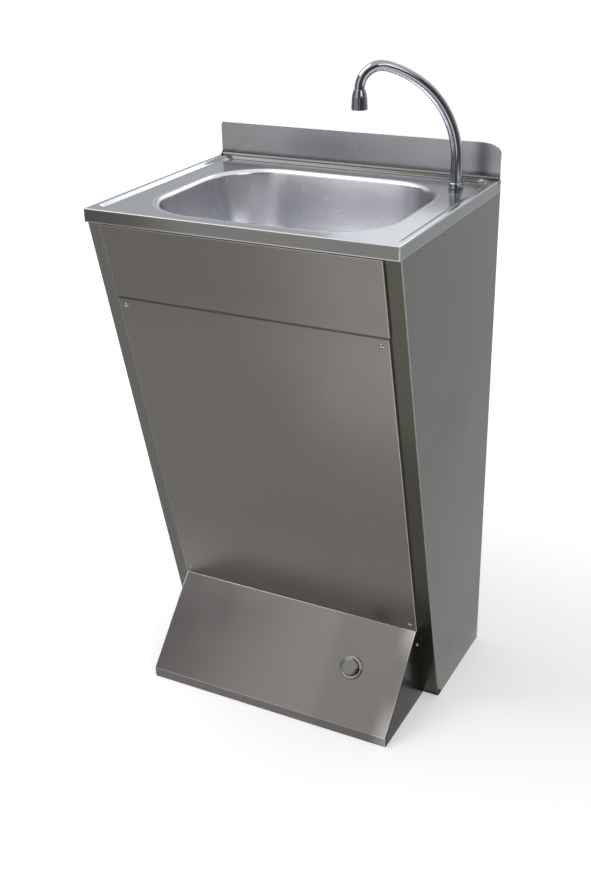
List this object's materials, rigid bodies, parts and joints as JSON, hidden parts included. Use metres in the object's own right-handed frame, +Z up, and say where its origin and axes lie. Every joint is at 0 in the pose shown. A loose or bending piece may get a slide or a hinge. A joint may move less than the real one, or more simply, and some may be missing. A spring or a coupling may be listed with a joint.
{
  "type": "hand wash sink",
  "caption": "Floor-standing stainless steel hand wash sink: tapered cabinet, drawn bowl in a rimmed worktop with upstand, swivelling swan neck spout and a foot button on a sloping toe cover.",
  "frame": {"origin": "on the floor, midway between the side panels and between the front and back edges of the worktop", "axes": "+X to the right of someone facing the sink, +Y towards the wall behind it, +Z up"},
  "size_m": [0.5, 0.4, 1.0384],
  "materials": {
    "worktop_steel": "satin",
    "bowl_steel": "satin",
    "cabinet_steel": "horizontal brushed",
    "screw_steel": "bright",
    "chrome": "polished",
    "brass": "machined",
    "plated_brass": "nickel plated",
    "rubber": "matt",
    "plastic_white": "moulded",
    "plastic_grey": "moulded",
    "spring_steel": "drawn wire",
    "pipe_steel": "drawn"
  },
  "bodies": {
    "cabinet": {"worktop": "worktop_steel", "bowl": "bowl_steel", "side_panel_left": "cabinet_steel", "side_panel_right": "cabinet_steel", "rear_top_rail": "cabinet_steel", "rear_bottom_rail": "cabinet_steel", "front_fascia": "cabinet_steel", "access_panel": "cabinet_steel", "panel_screws": "screw_steel", "toe_cover": "cabinet_steel", "toe_screws": "screw_steel", "tap_base": "chrome", "spout_set_screw": "screw_steel", "tap_gasket": "rubber", "tap_back_washer": "screw_steel", "tap_back_nut": "brass", "tap_tail_nut": "plated_brass", "valve_body": "plated_brass", "valve_bush": "brass", "button_bezel": "chrome", "valve_spring": "spring_steel", "riser_pipe": "pipe_steel", "inlet_pipe": "pipe_steel", "valve_outlet_nut": "plated_brass", "valve_inlet_nut": "plated_brass", "inlet_connector": "plated_brass", "inlet_lock_nut": "brass", "inlet_union_nut": "plated_brass", "waste_gasket_upper": "rubber", "waste_gasket_lower": "rubber", "waste_grid": "chrome", "waste_screw": "screw_steel", "waste_body": "plastic_white", "trap_top_nut": "plastic_white", "trap_tube": "plastic_white", "trap_head": "plastic_white", "trap_tube_nut": "plastic_white", "trap_cup": "plastic_white", "trap_outlet_nut": "plastic_white", "outlet_pipe": "plastic_white"},
    "spout": {"spout": "chrome", "spout_o_rings": "rubber", "spout_ferrule": "chrome", "aerator_housing": "chrome", "aerator_insert": "plastic_grey"},
    "foot_button": {"button_cap": "chrome", "valve_spindle": "brass", "valve_seal": "rubber"}
  },
  "joints": [
    {"name": "spout_swivel", "type": "hinge", "parent": "cabinet", "child": "spout", "pos_m": [0.199, 0.137, 0.855], "axis": [0, 0, 1], "continuous": true},
    {"name": "button_press", "type": "slide", "parent": "cabinet", "child": "foot_button", "axis": [0, 0.7316, -0.6817], "range_m": [0, 0.008], "stiffness_N_per_m": 800, "springref_m": -0.01, "deforming": ["valve_spring"]}
  ]
}
